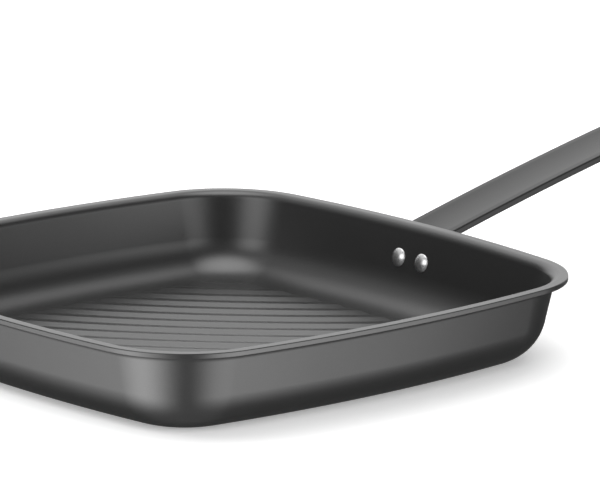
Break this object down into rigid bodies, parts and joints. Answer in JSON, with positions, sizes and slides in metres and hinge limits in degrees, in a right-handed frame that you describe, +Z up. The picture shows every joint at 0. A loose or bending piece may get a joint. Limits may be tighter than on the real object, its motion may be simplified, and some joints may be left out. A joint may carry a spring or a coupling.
{
  "type": "grill pan",
  "caption": "Square grill pan in dark metal: shallow flared walls, rounded corners, plain rim, ribs across the floor on the diagonal and a flat bar handle held by rivets.",
  "frame": {"origin": "middle of the pan's flat underside, on the surface that it stands on, without the handle", "axes": "+X from the middle of the pan along its handle, +Z up out of the pan, +Y to the left of the handle seen from the pan"},
  "size_m": [0.4706, 0.28, 0.0827],
  "materials": {
    "coated_pan": "satin dark grey coating",
    "coated_bar": "satin dark grey coating",
    "rivet_steel": "satin"
  },
  "bodies": {
    "root": {"pan_body": "coated_pan", "handle": "coated_bar", "rivets": "rivet_steel"}
  },
  "joints": []
}
